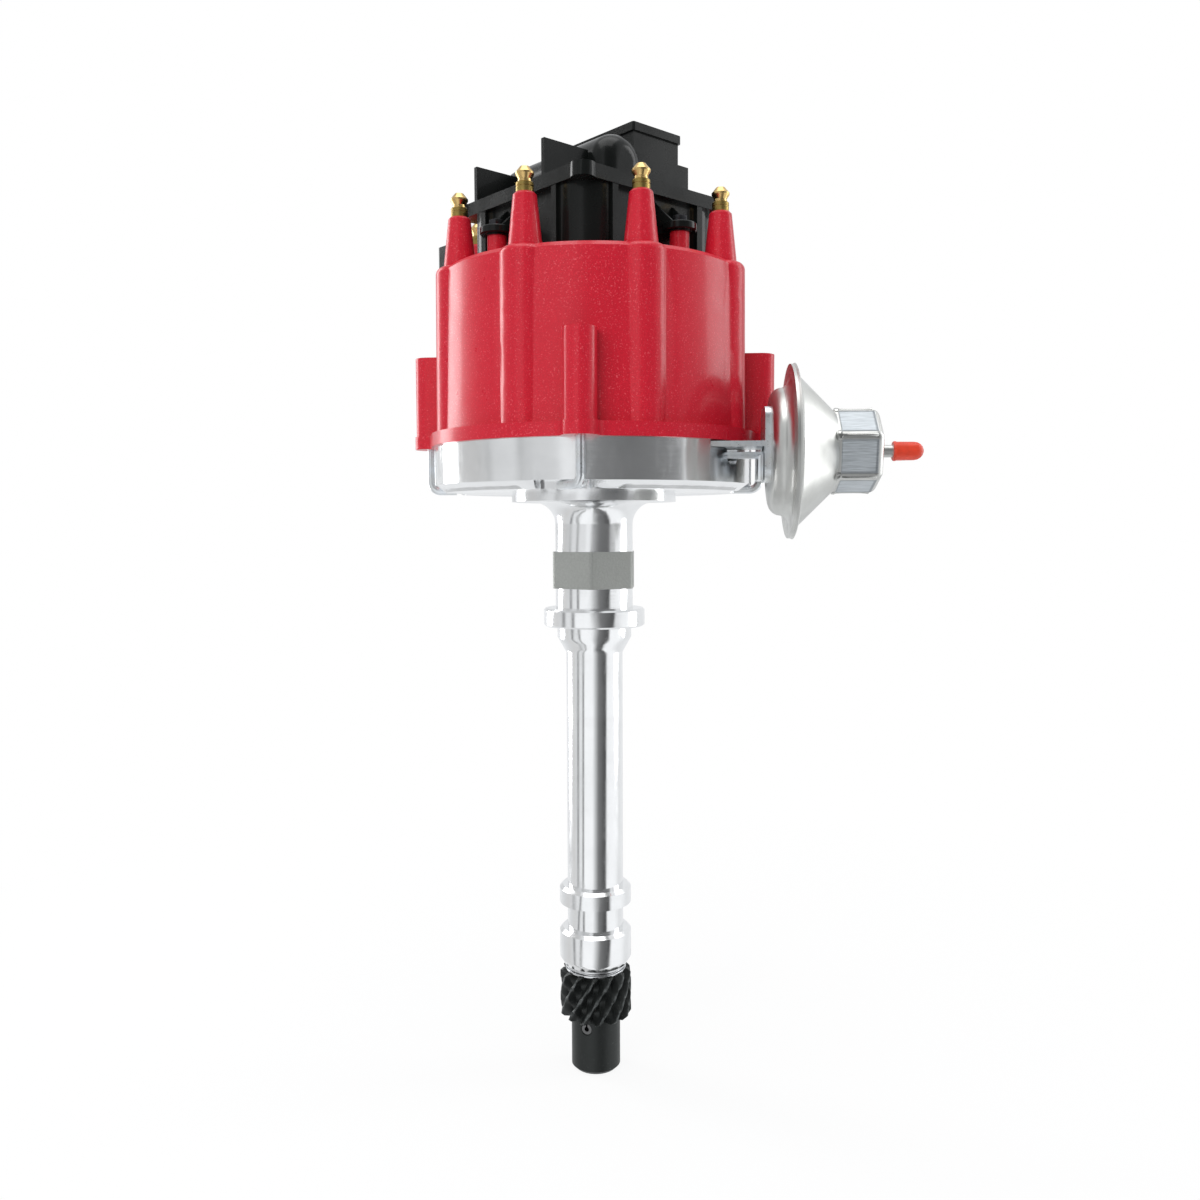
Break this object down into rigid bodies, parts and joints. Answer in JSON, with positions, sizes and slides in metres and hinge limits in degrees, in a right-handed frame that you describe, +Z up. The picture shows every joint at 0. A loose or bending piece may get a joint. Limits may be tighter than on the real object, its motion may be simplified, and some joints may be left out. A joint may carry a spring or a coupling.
{
  "type": "ignition distributor",
  "caption": "Gear-driven ignition distributor with its coil in the cap, a vacuum canister, swinging advance weights, turning latches and a slotted drive foot.",
  "frame": {"origin": "centre of the collar's underside, on the shaft's axis, where the distributor rests on an engine's manifold", "axes": "+Z up along the shaft towards the cap; +X along the vacuum canister's axis, the way its nipple points; -Y is the front"},
  "size_m": [0.2154, 0.1596, 0.4192],
  "materials": {
    "housing": "bright machined",
    "bronze": "oil-filled sintered bronze",
    "shaft_steel": "ground",
    "washer_steel": "ground",
    "gear_steel": "black oxide with worn bright crests",
    "stamped_steel": "zinc plated, dull",
    "zinc_plate": "bright zinc plate",
    "spring_steel": "drawn wire",
    "magnet": "moulded ferrite",
    "copper_winding": "enamelled copper wire",
    "rotor_plastic": "moulded, satin gloss",
    "cap_plastic": "moulded, satin gloss red",
    "brass": "turned, bright",
    "carbon": "graphite",
    "seal_rubber": "moulded",
    "core_steel": "laminated silicon steel",
    "winding_epoxy": "epoxy filled",
    "cover_plastic": "moulded, satin black",
    "screw_steel": "zinc plated",
    "canister_steel": "zinc plated, drawn and brushed",
    "red_rubber": "moulded",
    "diaphragm_rubber": "rubberised fabric",
    "module_plastic": "moulded",
    "capacitor_can": "drawn can",
    "grommet_rubber": "moulded"
  },
  "bodies": {
    "housing": {"housing": "housing", "lower_bushing": "bronze", "upper_bushing": "bronze", "cap": "cap_plastic", "plug_terminal_1": "brass", "plug_terminal_2": "brass", "plug_terminal_3": "brass", "plug_terminal_4": "brass", "plug_terminal_5": "brass", "plug_terminal_6": "brass", "plug_terminal_7": "brass", "plug_terminal_8": "brass", "latch_springs": "spring_steel", "carbon_spring": "spring_steel", "coil_seal": "seal_rubber", "coil_core": "core_steel", "coil_winding": "winding_epoxy", "coil_screws": "screw_steel", "coil_cover": "cover_plastic", "connector_blades": "brass", "cover_screws": "screw_steel", "canister_rear": "canister_steel", "canister_front": "canister_steel", "vacuum_cap": "red_rubber", "diaphragm": "diaphragm_rubber", "diaphragm_spring": "spring_steel", "canister_bracket": "zinc_plate", "bracket_screws": "screw_steel", "ignition_module": "module_plastic", "module_screws": "screw_steel", "capacitor": "capacitor_can", "capacitor_clip": "stamped_steel", "harness_grommet": "grommet_rubber"},
    "drive_shaft": {"main_shaft": "shaft_steel", "thrust_washers": "washer_steel", "drive_gear": "gear_steel", "roll_pin": "spring_steel", "advance_cam": "stamped_steel", "cam_retainer": "stamped_steel"},
    "advance_plate": {"trigger_wheel": "stamped_steel", "weight_plate": "stamped_steel", "advance_springs": "spring_steel", "rotor": "rotor_plastic", "rotor_blade": "brass", "rotor_screws": "screw_steel"},
    "weight_1": {"advance_weight_1": "zinc_plate"},
    "weight_2": {"advance_weight_2": "zinc_plate"},
    "pickup": {"pickup_plate": "stamped_steel", "pickup_magnet": "magnet", "pickup_coil": "copper_winding", "pole_piece": "stamped_steel"},
    "pull_rod": {"pull_rod": "stamped_steel"},
    "latch_1": {"latch_hook_1": "zinc_plate"},
    "latch_2": {"latch_hook_2": "zinc_plate"},
    "latch_3": {"latch_hook_3": "zinc_plate"},
    "latch_4": {"latch_hook_4": "zinc_plate"},
    "carbon_button": {"carbon_button": "carbon"}
  },
  "joints": [
    {"name": "shaft_spin", "type": "hinge", "parent": "housing", "child": "drive_shaft", "pos_m": [0, 0, -0.1], "axis": [0, 0, 1], "continuous": true},
    {"name": "centrifugal_advance", "type": "hinge", "parent": "drive_shaft", "child": "advance_plate", "pos_m": [0, 0, 0.095], "axis": [0, 0, -1], "range_deg": [0, 12], "stiffness_Nm_per_rad": 0.4, "deforming": ["advance_springs"]},
    {"name": "weight_swing_1", "type": "hinge", "parent": "advance_plate", "child": "weight_1", "pos_m": [0.019, 0, 0.0994], "axis": [0, 0, -1], "range_deg": [0, 17]},
    {"name": "weight_swing_2", "type": "hinge", "parent": "advance_plate", "child": "weight_2", "pos_m": [-0.019, 0, 0.0994], "axis": [0, 0, -1], "range_deg": [0, 17]},
    {"name": "pickup_turn", "type": "hinge", "parent": "housing", "child": "pickup", "pos_m": [0, 0, 0.072], "axis": [0, 0, 1], "range_deg": [0, 8], "stiffness_Nm_per_rad": 0.5},
    {"name": "vacuum_pull", "type": "slide", "parent": "housing", "child": "pull_rod", "axis": [1, 0, 0], "range_m": [0, 0.0052], "deforming": ["diaphragm", "diaphragm_spring"]},
    {"name": "latch_turn_1", "type": "hinge", "parent": "housing", "child": "latch_1", "pos_m": [0, -0.0728, 0.09], "axis": [0, 0, 1], "range_deg": [-52, 35]},
    {"name": "latch_turn_2", "type": "hinge", "parent": "housing", "child": "latch_2", "pos_m": [0.0728, 0, 0.09], "axis": [0, 0, 1], "range_deg": [0, 85]},
    {"name": "latch_turn_3", "type": "hinge", "parent": "housing", "child": "latch_3", "pos_m": [0, 0.0728, 0.09], "axis": [0, 0, 1], "range_deg": [0, 85]},
    {"name": "latch_turn_4", "type": "hinge", "parent": "housing", "child": "latch_4", "pos_m": [-0.0728, 0, 0.09], "axis": [0, 0, 1], "range_deg": [0, 85]},
    {"name": "button_press", "type": "slide", "parent": "housing", "child": "carbon_button", "axis": [0, 0, 1], "range_m": [0, 0.0015], "stiffness_N_per_m": 250, "deforming": ["carbon_spring"]}
  ],
  "couplings": [
    {"joint": "weight_swing_1", "follows": "centrifugal_advance", "ratio": 1.4},
    {"joint": "weight_swing_2", "follows": "centrifugal_advance", "ratio": 1.4},
    {"joint": "vacuum_pull", "follows": "pickup_turn", "m_per_rad": 0.036}
  ]
}
